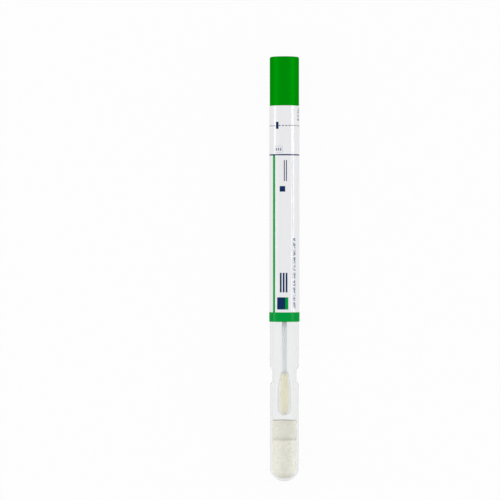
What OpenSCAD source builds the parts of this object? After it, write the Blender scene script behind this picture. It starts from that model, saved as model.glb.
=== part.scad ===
// Specimen swab tube, lying on its side with the cap towards +Y.
// Every piece is drawn upright about its own axis, from the tip of the round base (z = 0) to the
// top of the cap, and laid_down() then lays the whole tube on the surface it rests on.

/* [Tube] */
// Outside diameter of the tube and its cap
tube_diameter = 12; // [9.5:0.1:16]
// Thickness of the tube's wall
tube_wall = 0.85; // [0.5:0.05:1.2]
// Length from the tip of the round base to the mouth
tube_length = 145.7; // [100:0.1:200]
// Thickness at the tip of the round base
base_thickness = 1; // [0.6:0.1:2]
// How much narrower the tube is below its neck
base_draft = 0.12; // [0:0.02:0.4]
// Width of the bevel inside the mouth
mouth_bevel = 0.3; // [0.1:0.05:0.4]

/* [Neck] */
// Height of the neck's lower end above the tip of the base
neck_height = 40.1; // [34:0.1:60]
// How far the neck is drawn in from the outside
neck_depth = 0.95; // [0.4:0.05:1.2]
// Length of the slope into the neck from below
neck_lower_slope = 1.25; // [0.9:0.05:4]
// Length of the straight part of the neck
neck_land = 4.3; // [2:0.1:10]
// Length of the slope out of the neck above it
neck_upper_slope = 2.1; // [0.9:0.05:4]
// Radius that softens the neck's corners
neck_rounding = 0.8; // [0.2:0.1:1]

/* [Cap] */
// Length of the cap above the tube's mouth
cap_length = 28.3; // [20:0.1:40]
// Radius of the cap's top edge
cap_rounding = 0.6; // [0.2:0.1:1.2]
// Thickness of the cap's top
cap_top = 1.6; // [1:0.1:3]
// Length of the plug that goes into the mouth
plug_length = 9; // [6:0.5:14]
// Wall of the plug
plug_wall = 1; // [0.6:0.1:1.2]
// How far the plug's body stands off the tube's bore
plug_relief = 0.2; // [0.12:0.02:0.4]
// Radius of the two sealing beads round the plug
bead_radius = 0.45; // [0.3:0.05:0.6]
// Running clearance between the sealing beads and the bore
bead_clearance = 0.02; // [0.01:0.01:0.08]
// Wall of the socket that holds the stick
socket_wall = 0.9; // [0.5:0.1:1.2]
// Thickness of the ribs that brace the socket
rib_thickness = 0.8; // [0.4:0.1:1.2]
// Diameter of the moulding mark in the middle of the cap's top
gate_diameter = 2.4; // [1:0.1:4]
// Depth of the moulding mark
gate_depth = 0.25; // [0.1:0.05:0.5]

/* [Swab] */
// Diameter of the stick
stick_diameter = 2.1; // [1.6:0.1:2.8]
// Length of the stick held above the mouth, inside the cap
stick_seat = 14.4; // [6:0.1:17]
// Clearance round the stick in its socket and in the bud
stick_clearance = 0.02; // [0.01:0.01:0.05]
// Largest diameter of the bud
bud_diameter = 5.6; // [4.4:0.1:7]
// Length of the bud
bud_length = 17.9; // [14:0.1:24]
// Thickness of fibre beyond the end of the stick
bud_tip = 2.4; // [1:0.1:4]
// Length over which the bud narrows towards its top
bud_taper = 10; // [6:0.5:11]
// Diameter of the bud's top, before it closes on the stick
bud_top_diameter = 3.8; // [3.4:0.1:4.3]
// Gap between the bud and the foam below it
bud_gap = 1.9; // [1:0.1:6]

/* [Foam] */
// Length of the lower plug, with its round end
lower_foam_length = 16.4; // [10:0.1:20]
// Length of the upper plug
upper_foam_length = 7.8; // [4:0.1:12]
// Clearance between the foam and the tube
foam_clearance = 0.03; // [0.01:0.01:0.1]
// Radius of the plugs' flat edges
foam_rounding = 0.4; // [0.1:0.1:0.8]

/* [Label] */
// Thickness of the label
label_thickness = 0.2; // [0.1:0.05:0.3]
// Thickness of the adhesive under the label
adhesive = 0.02; // [0.01:0.01:0.05]
// Bare tube between the neck and the label
label_start = 17.8; // [4:0.1:40]
// Height of the label's top strip, stuck on the cap
strip_height = 8.2; // [4:0.1:16]
// Angle over which the label's ends overlap
overlap_angle = 24; // [8:1:40]
// Angle of the overlap round the tube, from the right towards the surface below
overlap_position = 50; // [25:1:60]
// Number of perforation slots round the label
slot_count = 29; // [20:1:36]
// Length of a perforation slot
slot_length = 0.6; // [0.4:0.05:0.9]
// Height of a perforation slot
slot_height = 0.1; // [0.05:0.05:0.3]
// Angle of the first slot, from the middle of the printed side towards the right
slot_turn = 4.3; // [-6:0.1:6]

/* [Hidden] */
$fn = 96;

// Points along a rounded corner, and the overlap that joins two solids of one piece
corner_steps = 6;
bite = 0.2;
// How far a cut reaches past the surface that it opens
over = 1;

tube_r = tube_diameter / 2;
bore_r = tube_r - tube_wall;
base_r = tube_r - base_draft / 2;
base_bore_r = base_r - tube_wall;
neck_top = neck_height + neck_lower_slope + neck_land + neck_upper_slope;

foam_r = base_bore_r - foam_clearance;
foam_split = base_thickness + lower_foam_length;
foam_top = foam_split + upper_foam_length;

stick_r = stick_diameter / 2;
bud_r = bud_diameter / 2;
bud_top_r = bud_top_diameter / 2;
bud_from = foam_top + bud_gap;
bud_to = bud_from + bud_length;
bud_shoulder = bud_to - (bud_top_r - stick_r);
stick_from = bud_from + bud_tip;
stick_to = tube_length + stick_seat;

total_length = tube_length + cap_length;
plug_from = tube_length - plug_length;
plug_r = bore_r - plug_relief;
bead_r = bore_r - bead_clearance - bead_radius;
cavity_r = plug_r - plug_wall;
socket_r = stick_r + socket_wall;

label_from = neck_top + label_start;
label_bore_r = tube_r + adhesive;
label_r = label_bore_r + label_thickness;

// Lays the upright tube down along Y: its front faces up and the label touches the surface
module laid_down() {
    translate([0, -total_length / 2, label_r])
        rotate([-90, 0, 0])
            children();
}

function unit(v) = v / norm(v);

// Points of the corner at b between a and c, rounded to a radius
function rounded(a, b, c, radius) =
    let (
        to_a = unit(a - b),
        to_c = unit(c - b),
        half = acos(to_a * to_c) / 2,
        centre = b + unit(to_a + to_c) * radius / sin(half),
        first = b + to_a * radius / tan(half) - centre,
        last = b + to_c * radius / tan(half) - centre,
        sweep = 180 - 2 * half
    )
    [for (i = [0:corner_steps])
        let (t = i / corner_steps)
        centre + (first * sin((1 - t) * sweep) + last * sin(t * sweep)) / sin(sweep)];

// Points up the tube's side from its round base to a height above the neck, set in from the outside
function side_points(inset, from, to) =
    let (
        foot = [base_r - inset, from],
        waist = tube_r - neck_depth - inset,
        low = [base_r - inset, neck_height],
        land_low = [waist, neck_height + neck_lower_slope],
        land_high = [waist, neck_top - neck_upper_slope],
        high = [tube_r - inset, neck_top],
        top = [tube_r - inset, to]
    )
    concat(
        [foot],
        rounded(foot, low, land_low, neck_rounding),
        rounded(low, land_low, land_high, neck_rounding),
        rounded(land_low, land_high, high, neck_rounding),
        rounded(land_high, high, top, neck_rounding),
        [top]
    );

// The right half of a round end of radius r, with its centre at height z
module round_end(r, z) {
    intersection() {
        translate([0, z])
            circle(r);
        translate([0, z - 2 * r])
            square([2 * r, 2 * r]);
    }
}

// Half section of what the tube's side encloses, down to its round base
module side_section(inset, centre, to) {
    polygon(concat([[0, centre]], side_points(inset, centre, to), [[0, to]]));
    round_end(base_r - inset, centre);
}

module tube() {
    bore_centre = base_thickness + base_bore_r;
    past_mouth = tube_length + over;
    color([0.93, 0.95, 0.95, 0.35])
        laid_down()
            rotate_extrude()
                difference() {
                    side_section(0, base_r, tube_length);
                    side_section(tube_wall, bore_centre, past_mouth);
                    polygon([
                        [0, tube_length - mouth_bevel],
                        [bore_r, tube_length - mouth_bevel],
                        [bore_r + mouth_bevel, tube_length],
                        [bore_r + mouth_bevel, past_mouth],
                        [0, past_mouth]
                    ]);
                }
}

// Half section of the cap's outside: plug, shoulder on the mouth, side and rounded top edge
module cap_section() {
    top_corner = rounded(
        [tube_r, tube_length], [tube_r, total_length], [0, total_length], cap_rounding
    );
    lead = plug_wall / 2;
    polygon(concat(
        [
            [0, plug_from],
            [plug_r - lead, plug_from],
            [plug_r, plug_from + lead],
            [plug_r, tube_length],
            [tube_r, tube_length]
        ],
        top_corner,
        [[0, total_length]]
    ));
}

// Beads round the plug that seal the mouth
module seal_beads() {
    for (share = [1 / 3, 2 / 3])
        rotate_extrude()
            translate([bead_r, plug_from + share * plug_length])
                circle(bead_radius);
}

// Socket for the stick, from the cap's top to the plug's end, with ribs down to the mouth
module socket() {
    ceiling = total_length - cap_top + bite;
    translate([0, 0, plug_from])
        cylinder(r = socket_r, h = ceiling - plug_from);
    rib_length = 2 * (cavity_r + bite);
    for (turn = [0, 90])
        rotate([0, 0, turn])
            translate([-rib_length / 2, -rib_thickness / 2, tube_length])
                cube([rib_length, rib_thickness, ceiling - tube_length]);
}

module cap() {
    color([0, 0.55, 0.06])
        laid_down()
            difference() {
                union() {
                    difference() {
                        union() {
                            rotate_extrude()
                                cap_section();
                            seal_beads();
                        }
                        translate([0, 0, plug_from - over])
                            cylinder(r = cavity_r, h = total_length - cap_top - plug_from + over);
                    }
                    socket();
                }
                translate([0, 0, plug_from - over])
                    cylinder(r = stick_r + stick_clearance, h = stick_to - plug_from + over);
                translate([0, 0, total_length - gate_depth])
                    cylinder(d = gate_diameter, h = over);
            }
}

module shaft() {
    color([0.8, 0.82, 0.83])
        laid_down()
            translate([0, 0, stick_from])
                cylinder(r = stick_r, h = stick_to - stick_from);
}

module bud() {
    taper_from = bud_shoulder - bud_taper;
    // The side bows in by a circle's arc that falls from bud_r to bud_top_r over the taper
    fall = bud_r - bud_top_r;
    bow_r = (bud_taper * bud_taper + fall * fall) / (2 * fall);
    seat = stick_r + stick_clearance;
    color([0.88, 0.87, 0.8])
        laid_down()
            difference() {
                rotate_extrude()
                    difference() {
                        union() {
                            round_end(bud_r, bud_from + bud_r);
                            translate([0, bud_from + bud_r])
                                square([bud_r, taper_from - bud_from - bud_r]);
                            intersection() {
                                translate([bud_r - bow_r, taper_from])
                                    circle(bow_r, $fn = 720);
                                translate([0, taper_from])
                                    square([2 * bud_r, bud_taper]);
                            }
                            intersection() {
                                translate([stick_r, bud_shoulder])
                                    circle(bud_top_r - stick_r);
                                translate([stick_r, bud_shoulder])
                                    square(2 * bud_top_r);
                            }
                        }
                        translate([0, bud_to])
                            square(bud_diameter);
                    }
                translate([0, 0, stick_from])
                    cylinder(r = seat, h = bud_length);
            }
}

module upper_foam() {
    color([0.87, 0.86, 0.79])
        laid_down()
            rotate_extrude()
                polygon(concat(
                    [[0, foam_split], [foam_r, foam_split]],
                    rounded([foam_r, foam_split], [foam_r, foam_top], [0, foam_top], foam_rounding),
                    [[0, foam_top]]
                ));
}

module lower_foam() {
    round_centre = base_thickness + base_bore_r;
    color([0.91, 0.9, 0.84])
        laid_down()
            rotate_extrude()
                union() {
                    round_end(foam_r, round_centre);
                    polygon(concat(
                        [[0, round_centre], [foam_r, round_centre]],
                        rounded(
                            [foam_r, round_centre], [foam_r, foam_split], [0, foam_split],
                            foam_rounding
                        ),
                        [[0, foam_split]]
                    ));
                }
}

// A strip of label wrapped round the tube, with its ends overlapping
module wrapped(from, to) {
    translate([0, 0, from])
        linear_extrude(to - from)
            difference() {
                union() {
                    circle(label_r);
                    intersection() {
                        circle(label_r + label_thickness);
                        rotate(overlap_position)
                            polygon([
                                [0, 0],
                                2 * tube_diameter * [cos(overlap_angle / 2), -sin(overlap_angle / 2)],
                                2 * tube_diameter * [cos(overlap_angle / 2), sin(overlap_angle / 2)]
                            ]);
                    }
                }
                circle(label_bore_r);
            }
}

module label() {
    color([0.92, 0.92, 0.93])
        laid_down()
            wrapped(label_from, tube_length);
}

// The label's top strip, with the perforation that it tears along at its lower edge
module seal_strip() {
    reach = label_r + 2 * label_thickness;
    color([0.92, 0.92, 0.93])
        laid_down()
            difference() {
                wrapped(tube_length, tube_length + strip_height);
                for (i = [0:slot_count - 1])
                    rotate([0, 0, slot_turn + i * 360 / slot_count - 90])
                        translate([bore_r, -slot_length / 2, tube_length - slot_height])
                            cube([reach - bore_r, slot_length, 2 * slot_height]);
            }
}

tube();
cap();
shaft();
bud();
upper_foam();
lower_foam();
label();
seal_strip();
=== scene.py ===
"""Specimen swab tube, lying on its side with its cap towards +Y, in metres."""

import math

import bmesh
import bpy
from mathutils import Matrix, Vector, noise


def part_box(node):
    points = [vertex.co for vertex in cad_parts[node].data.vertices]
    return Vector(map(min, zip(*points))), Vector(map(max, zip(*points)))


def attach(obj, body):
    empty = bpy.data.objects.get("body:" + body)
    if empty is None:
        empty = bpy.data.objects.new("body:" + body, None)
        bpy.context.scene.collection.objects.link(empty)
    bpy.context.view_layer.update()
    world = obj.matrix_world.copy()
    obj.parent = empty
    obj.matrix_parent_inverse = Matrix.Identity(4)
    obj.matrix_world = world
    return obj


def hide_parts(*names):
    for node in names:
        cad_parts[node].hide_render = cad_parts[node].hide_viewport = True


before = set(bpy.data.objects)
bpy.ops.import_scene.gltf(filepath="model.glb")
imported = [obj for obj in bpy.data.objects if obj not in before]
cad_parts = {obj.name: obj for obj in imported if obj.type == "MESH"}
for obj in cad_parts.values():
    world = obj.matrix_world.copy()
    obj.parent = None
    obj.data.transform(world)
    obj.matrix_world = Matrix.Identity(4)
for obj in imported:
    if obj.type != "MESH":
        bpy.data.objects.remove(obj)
bpy.context.view_layer.update()

MM = 0.001

# ---------------------------------------------------------------- the CAD model's places
tube_low, tube_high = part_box("tube")
label_low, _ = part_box("label")
upper_low, upper_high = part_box("upper_foam")
bud_low, bud_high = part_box("bud")

BASE_Y = tube_low[1]
AXIS_Z = (tube_low[2] + tube_high[2]) / 2


def height(y):
    """Height above the tip of the round base, in mm, of a place along the frame's Y."""
    return (y - BASE_Y) / MM


MOUTH = height(tube_high[1])
LABEL_FROM = height(label_low[1])
FOAM_SPLIT = height(upper_low[1])
FOAM_TOP = height(upper_high[1])
BUD_FROM = height(bud_low[1])
BUD_TO = height(bud_high[1])

# ---------------------------------------------------------------- sizes, in mm
TUBE_R = 6.0
WALL = 0.85
MOUTH_BEVEL = 0.3

# The round base; the bore's round end is a little fuller than the CAD model's
BASE_R = 5.94
BASE_THICKNESS = 1.0
BORE_CENTRE = BASE_THICKNESS + BASE_R - WALL
BORE_FULLNESS = 2.3

# The neck, from below: it lies 0.3 mm lower than the CAD model's, and is softer inside
NECK_FROM = 39.8
NECK_DEPTH = 0.95
NECK_LOWER_SLOPE = 1.25
NECK_LAND = 4.3
NECK_UPPER_SLOPE = 2.1
NECK_ROUNDING = 0.8
NECK_ROUNDING_INSIDE = 1.5

# The foam plugs: the gap to the bore, and the edges at the cut top and where the plugs meet
FOAM_GAP = 0.03
FOAM_R = BASE_R - WALL - FOAM_GAP
TOP_ROUNDING = 0.4
JOINT_ROUNDING = 0.12

LABEL_R = 6.22
LABEL_THICKNESS = 0.2
BUD_R = 2.8
STICK_R = 1.05

# ---------------------------------------------------------------- meshes
SHARP_EDGE = math.radians(35)
ON_AXIS = 1e-6


def make_object(name, verts, faces, material, body):
    """A smooth piece with one material, which rides on a body."""
    mesh = bpy.data.meshes.new(name)
    mesh.from_pydata(verts, [], faces)
    work = bmesh.new()
    work.from_mesh(mesh)
    bmesh.ops.recalc_face_normals(work, faces=work.faces)
    work.to_mesh(mesh)
    work.free()
    mesh.shade_smooth()
    mesh.set_sharp_from_angle(angle=SHARP_EDGE)
    mesh.materials.append(material)
    obj = bpy.data.objects.new(name, mesh)
    bpy.context.scene.collection.objects.link(obj)
    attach(obj, body)
    return obj


def revolve(profile, segments, shift=None):
    """Turns (height, radius) points in mm, from axis to axis, round the tube's axis.

    shift takes a point's height, radius and turn, and gives its new height and radius.
    """
    verts = []
    rings = []
    for s, r in profile:
        ring = []
        count = 1 if r < ON_AXIS else segments
        for i in range(count):
            turn = 2 * math.pi * i / segments
            s1, r1 = shift(s, r, turn) if shift else (s, r)
            x = r1 * MM * math.sin(turn)
            z = AXIS_Z + r1 * MM * math.cos(turn)
            ring.append(len(verts))
            verts.append((x, BASE_Y + s1 * MM, z))
        rings.append(ring)
    faces = []
    for a, b in zip(rings, rings[1:]):
        for i in range(segments):
            j = (i + 1) % segments
            corners = [a[i % len(a)], a[j % len(a)], b[j % len(b)], b[i % len(b)]]
            # At a ring that is one point on the axis, the face is a triangle
            faces.append(list(dict.fromkeys(corners)))
    return verts, faces


def rounded(before, corner, after, radius, steps):
    """Points of a corner rounded to a radius, in (height, radius) mm."""
    middle = Vector(corner)
    back = (Vector(before) - middle).normalized()
    on = (Vector(after) - middle).normalized()
    half = math.acos(max(-1, min(1, back.dot(on)))) / 2
    centre = middle + (back + on).normalized() * radius / math.sin(half)
    first = middle + back * radius / math.tan(half) - centre
    last = middle + on * radius / math.tan(half) - centre
    sweep = math.pi - 2 * half
    points = []
    for i in range(steps + 1):
        t = i / steps
        arc = first * math.sin((1 - t) * sweep) + last * math.sin(t * sweep)
        points.append(tuple(centre + arc / math.sin(sweep)))
    return points


def side(inset, rounding):
    """Points up the tube's side through the neck, set in from the outside."""
    low_r = BASE_R - inset
    high_r = TUBE_R - inset
    waist = TUBE_R - NECK_DEPTH - inset
    land = NECK_FROM + NECK_LOWER_SLOPE
    land_end = land + NECK_LAND
    top = land_end + NECK_UPPER_SLOPE
    # The first and last place only give the direction of the straight sides
    far = 20
    corners = [
        (NECK_FROM - far, low_r),
        (NECK_FROM, low_r),
        (land, waist),
        (land_end, waist),
        (top, high_r),
        (top + far, high_r),
    ]
    points = []
    for before, corner, after in zip(corners, corners[1:], corners[2:]):
        points += rounded(before, corner, after, rounding, steps=10)
    return points


def dome(centre, radius, steps, fullness=2.0):
    """Points of a round end from the axis to the side: a quarter circle at 2, and fuller above that."""
    power = 2 / fullness
    points = []
    for i in range(steps + 1):
        a = i * math.pi / 2 / steps
        along = max(0.0, math.cos(a)) ** power
        points.append((centre - radius * along, radius * math.sin(a) ** power))
    return points


def unevenness(place, octaves):
    """Noise from 0 to 1 at a place, with finer noise on it for each further octave."""
    smoothness = 1.0
    finer_by = 2.0
    value = noise.fractal(place, smoothness, finer_by, octaves) * 0.5 + 0.5
    return max(0, min(1, value))


def pits(depth, scale):
    """A shift for revolve: small uneven hollows in a soft surface."""

    def shift(s, r, turn):
        place = Vector((r * math.sin(turn), s, r * math.cos(turn)))
        return s, r - depth * unevenness(place * scale, octaves=3)

    return shift


def wound(depth):
    """A shift for revolve: slanting furrows of wound fibre, which fade out at the axis."""
    slant = 0.22
    across = 0.6
    along = 3.0

    def shift(s, r, turn):
        place = Vector((turn * across, (s + turn * slant) * along, 0))
        if turn > math.pi:
            place.x = (2 * math.pi - turn) * across
        return s, r - depth * unevenness(place, octaves=2) * min(1, r)

    return shift


# ---------------------------------------------------------------- node trees
# A Mix node's colour sockets by number, because their names come more than once
MIX_A = 6
MIX_B = 7
MIX_RESULT = 2


class Nodes:
    """A small writer of node trees, for a material or a world."""

    def __init__(self, owner, output):
        owner.use_nodes = True
        self.owner = owner
        self.tree = owner.node_tree
        self.tree.nodes.clear()
        self.output = self.add(output)

    def add(self, kind, inputs=None, **settings):
        """Adds a node. Each input is given a socket to link or a value to hold."""
        node = self.tree.nodes.new("ShaderNode" + kind)
        for key, value in settings.items():
            setattr(node, key, value)
        for key, value in (inputs or {}).items():
            if isinstance(value, bpy.types.NodeSocket):
                self.tree.links.new(value, node.inputs[key])
            else:
                node.inputs[key].default_value = value
        return node

    def math(self, operation, a, b=0.0, c=0.0, clamp=False):
        """A Math node; a, b and c are sockets or numbers."""
        node = self.add("Math", {0: a, 1: b, 2: c}, operation=operation, use_clamp=clamp)
        return node.outputs[0]

    def stretched(self, value, gain, offset):
        """A value times a gain plus an offset, held between 0 and 1."""
        return self.math("MULTIPLY_ADD", value, gain, offset, clamp=True)

    def mix(self, factor, a, b):
        """Two colours mixed, each a socket or an RGBA."""
        inputs = {"Factor": factor, MIX_A: a, MIX_B: b}
        node = self.add("Mix", inputs, data_type="RGBA", clamp_factor=True)
        return node.outputs[MIX_RESULT]

    def place(self):
        """Sockets of X, Y and Z in metres."""
        return self.add("SeparateXYZ", {0: self.add("TexCoord").outputs["Object"]}).outputs

    def noise(self, scale, detail, stretch=(1, 1, 1), roughness=0.5):
        """Noise with its scale per metre. A stretch under 1 draws it out along that axis."""
        place = self.add("TexCoord").outputs["Object"]
        mapped = self.add("Mapping", {"Vector": place, "Scale": stretch}).outputs[0]
        inputs = {"Vector": mapped, "Scale": scale, "Detail": detail, "Roughness": roughness}
        return self.add("TexNoise", inputs).outputs["Fac"]

    def bump(self, value, strength, distance):
        """A normal from a height map, with its full height as a distance in metres."""
        inputs = {"Height": value, "Strength": strength, "Distance": distance}
        return self.add("Bump", inputs).outputs[0]

    def seen(self):
        """1 for rays of the camera, gloss and glass, and 0 for the light on the object."""
        path = self.add("LightPath").outputs
        seen = self.math("MAXIMUM", path["Is Camera Ray"], path["Is Transmission Ray"])
        return self.math("MAXIMUM", seen, path["Is Glossy Ray"])

    def principled(self, inputs):
        return self.add("BsdfPrincipled", inputs).outputs[0]

    def done(self, shader):
        """Makes a shader the surface, and gives back the finished material or world."""
        self.tree.links.new(shader, self.output.inputs["Surface"])
        return self.owner


def new_material(name):
    return Nodes(bpy.data.materials.new(name), "OutputMaterial")


def srgb(code):
    """Linear RGBA of a six-digit sRGB code."""
    parts = [int(code[i : i + 2], 16) / 255 for i in (0, 2, 4)]
    linear = [c / 12.92 if c <= 0.04045 else ((c + 0.055) / 1.055) ** 2.4 for c in parts]
    return (*linear, 1)


# ---------------------------------------------------------------- plastics, foam and fibre
def clear_plastic():
    """Clear moulded plastic with faint flow lines along the tube.

    It bends light less than the real plastic, which keeps dark spots off the neck's corners.
    """
    n = new_material("clear_plastic")
    lines = n.noise(900, 2, (1, 0.02, 1))
    shader = n.principled(
        {
            "Base Color": (0.97, 0.974, 0.974, 1),
            "Roughness": 0.0,
            "IOR": 1.25,
            "Specular Tint": (0.08, 0.08, 0.08, 1),
            "Transmission Weight": 1.0,
            "Normal": n.bump(lines, 0.015, 0.00005),
        }
    )
    # Light from the lamps comes straight through, and a long way through the wall greys it
    lamps = n.add("LightPath").outputs["Is Shadow Ray"]
    let_through = n.add("BsdfTransparent", {"Color": (0.93, 0.935, 0.935, 1)}).outputs[0]
    both = n.add("MixShader", {0: lamps, 1: shader, 2: let_through}).outputs[0]
    haze = n.add("VolumeAbsorption", {"Color": (0.5, 0.52, 0.52, 1), "Density": 108.0})
    n.tree.links.new(haze.outputs[0], n.output.inputs["Volume"])
    return n.done(both)


def green_plastic():
    """Satin moulded plastic of the cap."""
    n = new_material("green_plastic")
    fine = n.noise(2600, 3)
    cloudy = n.noise(160, 3, (1, 0.25, 1))
    shader = n.principled(
        {
            "Base Color": n.mix(cloudy, srgb("008706"), srgb("008C0A")),
            "Roughness": n.math("MULTIPLY_ADD", fine, 0.08, 0.38),
            "Metallic": 0.07,
            "Specular IOR Level": 0.0,
            "Specular Tint": (0.0, 1.0, 0.16, 1),
            "Normal": n.bump(fine, 0.05, 0.00003),
        }
    )
    return n.done(shader)


def stick_plastic():
    """Drawn plastic with fine lengthwise marks."""
    n = new_material("stick_plastic")
    lines = n.noise(3000, 2, (1, 0.03, 1))
    shader = n.principled(
        {
            "Base Color": n.mix(lines, srgb("D1D5D6"), srgb("DADDDE")),
            "Roughness": 0.42,
            "Specular IOR Level": 0.03,
            "Normal": n.bump(lines, 0.2, 0.00002),
        }
    )
    return n.done(shader)


def foam():
    """Soaked fine-celled foam: cream with paler blotches and a few pinkish flecks."""
    n = new_material("foam")
    y = n.place()[1]
    above = n.math("SUBTRACT", y, BASE_Y + FOAM_SPLIT * MM)
    is_upper = n.math("GREATER_THAN", above, 0.0)
    blotches = n.stretched(n.noise(560, 1), 2.6, -0.9)
    lower = n.mix(blotches, srgb("EBE8DB"), srgb("F3F1E9"))
    upper = n.mix(blotches, srgb("E4E1D4"), srgb("EDEBE2"))
    colour = n.mix(is_upper, lower, upper)
    grain = n.stretched(n.noise(1700, 2), 3.4, -1.5)
    colour = n.mix(n.math("MULTIPLY", grain, 0.35), colour, srgb("D2CDBE"))
    flecks = n.stretched(n.noise(1800, 1), 12, -7.8)
    colour = n.mix(flecks, colour, srgb("D6BFA8"))
    # Painted shade: the cut top face is darkened, as shade falls on it
    cut_depth = 0.06
    top = n.math("GREATER_THAN", y, BASE_Y + (FOAM_TOP - cut_depth) * MM)
    colour = n.mix(top, colour, srgb("D2D0C8"))
    # Painted shade in a patchy band round the joint between the plugs, mostly on the upper plug's foot
    fade_above = n.math("MULTIPLY_ADD", above, -0.7 / MM, 1.0)
    fade_below = n.stretched(above, 1.6 / MM, 1.0)
    joint_shade = n.math("MAXIMUM", n.math("MINIMUM", fade_above, fade_below), 0.0)
    patchy = n.stretched(n.noise(900, 1), 1.0, 0.1)
    colour = n.mix(n.math("MULTIPLY", joint_shade, patchy), colour, srgb("C9C6BB"))
    cells = n.noise(2200, 4, roughness=0.7)
    shader = n.principled(
        {
            "Base Color": colour,
            "Roughness": 0.8,
            "Specular IOR Level": 0.1,
            "Normal": n.bump(cells, 0.3, 0.0002),
        }
    )
    return n.done(shader)


def fibre(name, pale, deep, alpha):
    """Wound fibre: strands run round the bud at a slight slant."""
    rise_by_turn = 0.00022
    round_by_turn = 0.0004
    n = new_material(name)
    x, y, z = n.place()
    turn = n.math("ARCTAN2", x, n.math("SUBTRACT", z, AXIS_Z))
    across = n.math("MULTIPLY", turn, round_by_turn)
    along = n.math("MULTIPLY_ADD", turn, rise_by_turn, y)
    flat = n.add("CombineXYZ", {0: across, 1: along}).outputs[0]
    inputs = {"Vector": flat, "Scale": 5200, "Detail": 3, "Roughness": 0.6}
    strands = n.add("TexNoise", inputs).outputs["Fac"]
    shader = n.principled(
        {
            "Base Color": n.mix(strands, srgb(deep), srgb(pale)),
            "Roughness": 0.85,
            "Specular IOR Level": 0.1,
            "Alpha": alpha,
            "Normal": n.bump(strands, 0.5, 0.00008),
        }
    )
    return n.done(shader)


# ---------------------------------------------------------------- the printed label
DEGREES = 180 / math.pi
DEGREES_BY_MM = DEGREES / LABEL_R
NAVY = "132F5A"
GREEN = "00983C"


class Print:
    """Print on the wrapped label. A place is an angle from the front in degrees and a height in mm."""

    def __init__(self, nodes, colour):
        self.n = nodes
        self.colour = colour
        self.dulled = []
        x, y, z = nodes.place()
        up = nodes.math("SUBTRACT", z, AXIS_Z)
        self.turn = nodes.math("MULTIPLY", nodes.math("ARCTAN2", x, up), DEGREES)
        self.height = nodes.math("MULTIPLY_ADD", y, 1 / MM, -BASE_Y / MM)
        # Only the label's outer face is printed
        square = nodes.math("MULTIPLY_ADD", x, x, nodes.math("MULTIPLY", up, up))
        film_middle = (LABEL_R - LABEL_THICKNESS / 2) * MM
        self.outside = nodes.math("GREATER_THAN", square, film_middle**2)

    def span(self, value, centre, width, soft):
        """1 within a width round a centre, with soft edges."""
        off = self.n.math("ABSOLUTE", self.n.math("SUBTRACT", value, centre))
        return self.n.stretched(off, -1 / soft, width / 2 / soft + 0.5)

    def rows(self, low, high, soft=0.04):
        """1 between two heights."""
        return self.span(self.height, (low + high) / 2, high - low, soft)

    def columns(self, centre, width, soft=0.04):
        """1 within a width in mm round an angle."""
        return self.span(self.turn, centre, width * DEGREES_BY_MM, soft * DEGREES_BY_MM)

    def block(self, centre, width, low, high):
        """A field with its middle at an angle, its width in mm, and its lowest and highest height."""
        return self.n.math("MULTIPLY", self.columns(centre, width), self.rows(low, high))

    def join(self, masks):
        """The masks together as one."""
        total = masks[0]
        for mask in masks[1:]:
            total = self.n.math("MAXIMUM", total, mask)
        return total

    def ink(self, mask, code, strength=1.0, dull=0.93):
        """Prints a mask. Ink at full strength also takes off some of the film's gloss."""
        mask = self.n.math("MULTIPLY", mask, self.outside)
        if strength < 1:
            mask = self.n.math("MULTIPLY", mask, strength)
        else:
            self.dulled.append(self.n.math("MULTIPLY", mask, dull))
        self.colour = self.n.mix(mask, self.colour, srgb(code))

    def dashes(self, count, first, width, low, high):
        """Dashes all the way round, evenly spaced, with the middle of one at a first angle."""
        step = 360 / count
        cell = self.n.math("MULTIPLY_ADD", self.turn, 1 / step, 0.5 - first / step)
        across = self.span(self.n.math("FRACT", cell), 0.5, width * DEGREES_BY_MM / step, 0.05)
        return self.n.math("MULTIPLY", across, self.rows(low, high, 0.03))

    def fine_print(self, centre, width, low, high):
        """A column of tiny random marks in groups, which reads as print and spells nothing."""
        mark_height = 0.42
        mark_width = 0.36
        blank_marks = 0.32
        marks_by_group = 7.3
        blank_in_group = 0.16
        along = self.n.math("DIVIDE", self.height, mark_height)
        across = self.n.math("MULTIPLY", self.turn, LABEL_R * math.pi / 180 / mark_width)
        cells = self.n.add("CombineXYZ", {0: along, 1: across}).outputs[0]
        cells = self.n.add("VectorMath", {0: cells}, operation="FLOOR").outputs[0]
        chance = self.n.add("TexWhiteNoise", {"Vector": cells}, noise_dimensions="2D")
        on = self.n.math("GREATER_THAN", chance.outputs["Value"], blank_marks)
        group = self.n.math("FRACT", self.n.math("DIVIDE", along, marks_by_group))
        on = self.n.math("MULTIPLY", on, self.n.math("GREATER_THAN", group, blank_in_group))
        return self.n.math("MULTIPLY", self.block(centre, width, low, high), on)


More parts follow.
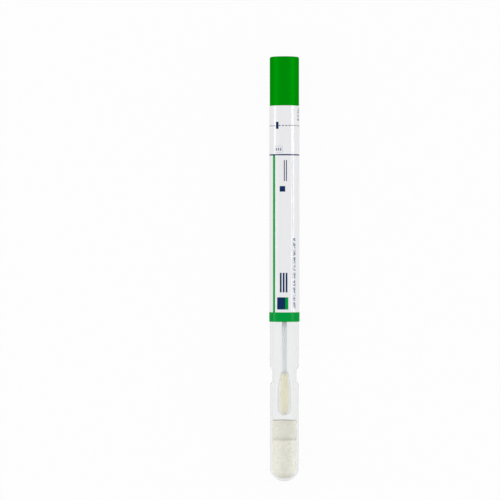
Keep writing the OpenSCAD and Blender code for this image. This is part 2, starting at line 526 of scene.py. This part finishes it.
def label_film():
    """Pale glossy film. Plain fields stand where the photograph's label has its print."""
    n = new_material("label_film")
    p = Print(n, n.mix(n.noise(1500, 3), srgb("E9E9EB"), srgb("EDEDEF")))
    # The green band at the foot, and the lines that run up from it and across near the top
    band_to = LABEL_FROM + 3.9
    p.ink(p.rows(LABEL_FROM - 1, band_to), GREEN, dull=0.9)
    p.ink(p.block(-43.4, 1.28, LABEL_FROM, 134.0), "1BA04B")
    p.ink(p.block(31, 0.2, band_to, MOUTH - 11), "8F99AD", 0.9)
    p.ink(p.rows(133.51, 134.07), "1C3266", 0.98)
    # A small frame with three marks in it
    frame_at = -23.5
    outer = p.block(frame_at, 3.4, 134.7, 137.4)
    inner = p.block(frame_at, 3.1, 134.85, 137.25)
    p.ink(n.math("SUBTRACT", outer, inner), "8D94A8", 0.7)
    marks = [p.block(frame_at + 8.5 * i, 0.55, 135.4, 136.6) for i in (-1, 0, 1)]
    p.ink(p.join(marks), "46557C", 0.8)
    # A bar across the joint of cap and tube, and the perforation's dashes round it
    p.ink(p.block(-28.7, 1.2, 144.33, 147.24), NAVY)
    p.ink(p.dashes(29, 6.5, 0.6, MOUTH - 0.22, MOUTH + 0.22), "141F5E", 0.98)
    p.ink(p.fine_print(40, 1.3, 70.5, 99.8), "76829B", 0.95)
    p.ink(p.fine_print(64, 1.2, 147.2, 153.1), "3C4D73", 0.85)
    # The upper fields: a square and two thin bars
    upper_fields = [p.block(-8, 2.3, 118.7, 121.0)]
    upper_fields += [p.block(turn, 0.38, 123.0, 131.6) for turn in (-1, 7)]
    p.ink(p.join(upper_fields), NAVY)
    # The lower fields: a navy block and a green one side by side, and three bars above them
    p.ink(p.block(-8, 4.6, 70.6, 75.6), NAVY)
    p.ink(p.block(8.5, 1.3, 70.6, 75.6), GREEN)
    lower_fields = [p.block(turn, 0.75, 77.6, 85.6) for turn in (-14.5, -3.5, 7.5)]
    p.ink(p.join(lower_fields), NAVY)
    film = n.principled(
        {
            "Base Color": p.colour,
            "Roughness": 0.4,
            "Specular IOR Level": 0.0,
            "Coat Weight": n.math("SUBTRACT", 1.0, p.join(p.dulled)),
            "Coat Roughness": 0.03,
            "Coat IOR": 1.33,
            "Normal": n.bump(n.noise(260, 2, (1, 0.5, 1)), 0.06, 0.0003),
        }
    )
    return n.done(film)


# ---------------------------------------------------------------- pieces
def build_tube():
    """The clear wall: its outside and its bore, turned as one closed section."""
    segments = 144
    steps = 28
    bore_r = TUBE_R - WALL
    outside = dome(BASE_R, BASE_R, steps) + side(0, NECK_ROUNDING) + [(MOUTH, TUBE_R)]
    inside = dome(BORE_CENTRE, BASE_R - WALL, steps, BORE_FULLNESS)
    inside += side(WALL, NECK_ROUNDING_INSIDE)
    inside += [(MOUTH - MOUTH_BEVEL, bore_r), (MOUTH, bore_r + MOUTH_BEVEL)]
    verts, faces = revolve(outside + inside[::-1], segments)
    material = clear_plastic()
    obj = make_object("tube_wall", verts, faces, material, "tube_body")
    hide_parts("tube")


def build_foam():
    """The two soaked plugs: a round-ended one in the base, and a flat-ended one on it."""
    segments = 120
    ring_gap = 0.35
    face_rings = 12
    # Left free of straight side: next to a flat end, and above the round end
    edge_room = 0.6
    dome_room = 0.3
    material = foam()

    def column(low, high):
        """Close rings up the straight side, fine enough for the pits."""
        steps = int((high - low) / ring_gap)
        return [(low + (high - low) * i / steps, FOAM_R) for i in range(steps + 1)]

    def face(at, away, rounding):
        """A flat end from its rounded edge in to the axis; away is the side that the plug lies on."""
        edge = rounded((at + 2 * away, FOAM_R), (at, FOAM_R), (at, 0), rounding, steps=4)
        return edge + [(at, FOAM_R * k / face_rings) for k in range(face_rings - 2, -1, -1)]

    lower = dome(BORE_CENTRE, FOAM_R, steps=20, fullness=BORE_FULLNESS)
    lower += column(BORE_CENTRE + dome_room, FOAM_SPLIT - edge_room)
    lower += face(FOAM_SPLIT, -1, JOINT_ROUNDING)
    upper = face(FOAM_SPLIT, 1, JOINT_ROUNDING)[::-1]
    upper += column(FOAM_SPLIT + edge_room, FOAM_TOP - edge_room)
    upper += face(FOAM_TOP, -1, TOP_ROUNDING)
    for name, profile, node in (
        ("foam_lower", lower, "lower_foam"),
        ("foam_upper", upper, "upper_foam"),
    ):
        verts, faces = revolve(profile, segments, pits(depth=0.05, scale=2.2))
        obj = make_object(name, verts, faces, material, "tube_body")
        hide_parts(node)


def bud_profile(shrink):
    """The bud's side, set in by shrink mm: round tip, straight part, bowed taper and soft shoulder."""
    top_r = 1.9
    shoulder_height = 2.2
    taper = 8.6
    straight_steps = 9
    taper_steps = 24
    shoulder_steps = 12
    shoulder = BUD_TO - shoulder_height
    taper_from = shoulder - taper
    fall = BUD_R - top_r
    bow = (taper * taper + fall * fall) / (2 * fall)
    straight_from = BUD_FROM + BUD_R
    straight = taper_from - straight_from
    points = dome(straight_from, BUD_R, steps=14)
    for i in range(1, straight_steps + 1):
        points.append((straight_from + straight * i / straight_steps, BUD_R))
    for i in range(1, taper_steps + 1):
        d = taper * i / taper_steps
        points.append((taper_from + d, BUD_R - bow + math.sqrt(bow * bow - d * d)))
    for i in range(1, shoulder_steps + 1):
        a = i * math.pi / 2 / shoulder_steps
        up = shoulder_height * math.sin(a)
        points.append((shoulder + up, STICK_R + (top_r - STICK_R) * math.cos(a)))
    # Inner layers keep round the tip's middle below, and hug the stick above
    end_inset = 1.25
    middle = (BUD_FROM + BUD_TO) / 2
    shorter = 1 - end_inset * shrink / (BUD_TO - BUD_FROM)
    thinner = 1 - shrink / BUD_R
    closer = 1 - shrink / (BUD_R - STICK_R)
    layer = []
    for s, r in points:
        r = STICK_R + (r - STICK_R) * closer if s > middle else r * thinner
        layer.append((middle + (s - middle) * shorter, r))
    layer.append((layer[-1][0], 0.0))
    return layer


def build_bud():
    """Thin wraps over a cream core: the outer one grey, painted shade for the bud's rim, the others
    pale, each set further in and creamier.
    """
    segments = 84
    # Name, how far it is set in in mm, its pale and deep colour, and how much of it shows
    layers = (
        # The outer wrap's grey is painted shade, which draws a darker rim round the bud
        ("bud_wrap", 0.0, "D0D0D3", "C6C6C9", 0.22),
        ("bud_wrap_2", 0.45, "FFFFFD", "FBFBF7", 0.4),
        ("bud_wrap_3", 1.2, "FEFBE6", "F9F5D4", 0.35),
        ("bud_core", 1.6, "FDF5B4", "F8EEA2", 1.0),
    )
    for name, shrink, pale, deep, alpha in layers:
        material = fibre(name, pale, deep, alpha)
        verts, faces = revolve(bud_profile(shrink), segments, wound(depth=0.06))
        wrap = make_object(name, verts, faces, material, "swab_body")
        if shrink == 0:
            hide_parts("bud")


def finish_nodes():
    """Materials for the CAD pieces that stay as they are."""
    film = label_film()
    for node, material in (
        ("cap", green_plastic()),
        ("shaft", stick_plastic()),
        ("label", film),
        ("seal_strip", film),
    ):
        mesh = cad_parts[node].data
        for i in range(len(mesh.materials)):
            mesh.materials[i] = material


# ---------------------------------------------------------------- stage, light and camera
def build_stage():
    """A grey floor that keeps the shadow, under a plain white that only the seen rays get."""
    reach = 4.0
    white_share = 0.95
    n = new_material("floor")
    plain = n.add("BsdfDiffuse", {"Color": (0.72, 0.72, 0.72, 1)}).outputs[0]
    white = n.add("Emission", {"Color": (1, 1, 1, 1), "Strength": 1.0}).outputs[0]
    share = n.math("MULTIPLY", n.seen(), white_share)
    material = n.done(n.add("MixShader", {0: share, 1: plain, 2: white}).outputs[0])
    corners = [(-reach, -reach, 0), (reach, -reach, 0), (reach, reach, 0), (-reach, reach, 0)]
    mesh = bpy.data.meshes.new("floor")
    mesh.from_pydata(corners, [], [(0, 1, 2, 3)])
    mesh.materials.append(material)
    floor = bpy.data.objects.new("floor", mesh)
    bpy.context.scene.collection.objects.link(floor)


def build_world(level):
    """White to the seen rays, and a level below it as light on the object."""
    world = bpy.data.worlds.new("studio")
    bpy.context.scene.world = world
    n = Nodes(world, "OutputWorld")
    strength = n.math("MULTIPLY_ADD", n.seen(), 1 - level, level)
    n.done(n.add("Background", {"Color": (1, 1, 1, 1), "Strength": strength}).outputs[0])


def side_light(name, turn, distance, width, length, along, radiance, only_gloss):
    """A long soft box beside the tube, at an angle from straight up, turned towards it."""
    data = bpy.data.lights.new(name, "AREA")
    data.shape = "RECTANGLE"
    data.size = width
    data.size_y = length
    data.energy = radiance * math.pi * width * length
    obj = bpy.data.objects.new(name, data)
    a = math.radians(turn)
    obj.location = (distance * math.sin(a), along, AXIS_Z + distance * math.cos(a))
    obj.rotation_euler = (0, a, 0)
    obj.visible_diffuse = not only_gloss
    obj.visible_transmission = not only_gloss
    bpy.context.scene.collection.objects.link(obj)


def build_lights():
    """Long boxes that show only as gloss on the tube and the cap, and two soft ones that light all."""
    # Name, degrees from straight up, distance, width, length, place along Y, radiance, only gloss
    for light in (
        ("gloss_left", -78, 0.7, 0.22, 0.388, 0.156, 6, True),
        ("gloss_right", 63.5, 0.7, 0.26, 0.388, 0.156, 8.2, True),
        ("cap_left", -64, 0.7, 0.3, 0.34, 0.29, 6, True),
        ("cap_right", 84, 0.7, 0.3, 0.34, 0.29, 4, True),
        ("soft_left", -62, 0.75, 0.42, 0.6, 0.0, 1.0, False),
        ("soft_right", 74, 0.75, 0.34, 0.6, 0.0, 1.35, False),
    ):
        side_light(*light)


def build_camera():
    """Straight down on the lying tube, as the photograph looks at the upright one."""
    distance = 1.23
    # The frame's middle, which puts the tube where the photograph has it
    middle_x = -0.0141
    middle_y = 0.0079
    data = bpy.data.cameras.new("camera")
    data.sensor_width = 36.0
    data.lens = 216.0
    data.clip_start = 0.01
    data.clip_end = 20
    camera = bpy.data.objects.new("camera", data)
    camera.location = (middle_x, middle_y, AXIS_Z + distance)
    bpy.context.scene.collection.objects.link(camera)
    bpy.context.scene.camera = camera


def set_bounces():
    """Enough bounces for light to come through the tube's walls and the bud's wraps and back out."""
    cycles = bpy.context.scene.cycles
    cycles.max_bounces = 32
    cycles.diffuse_bounces = 8
    cycles.glossy_bounces = 8
    cycles.transmission_bounces = 32
    cycles.transparent_max_bounces = 48


build_tube()
build_foam()
build_bud()
finish_nodes()
build_stage()
build_world(level=0.88)
build_lights()
build_camera()
set_bounces()
bpy.context.scene.view_settings.view_transform = "Standard"

bpy.context.view_layer.update()
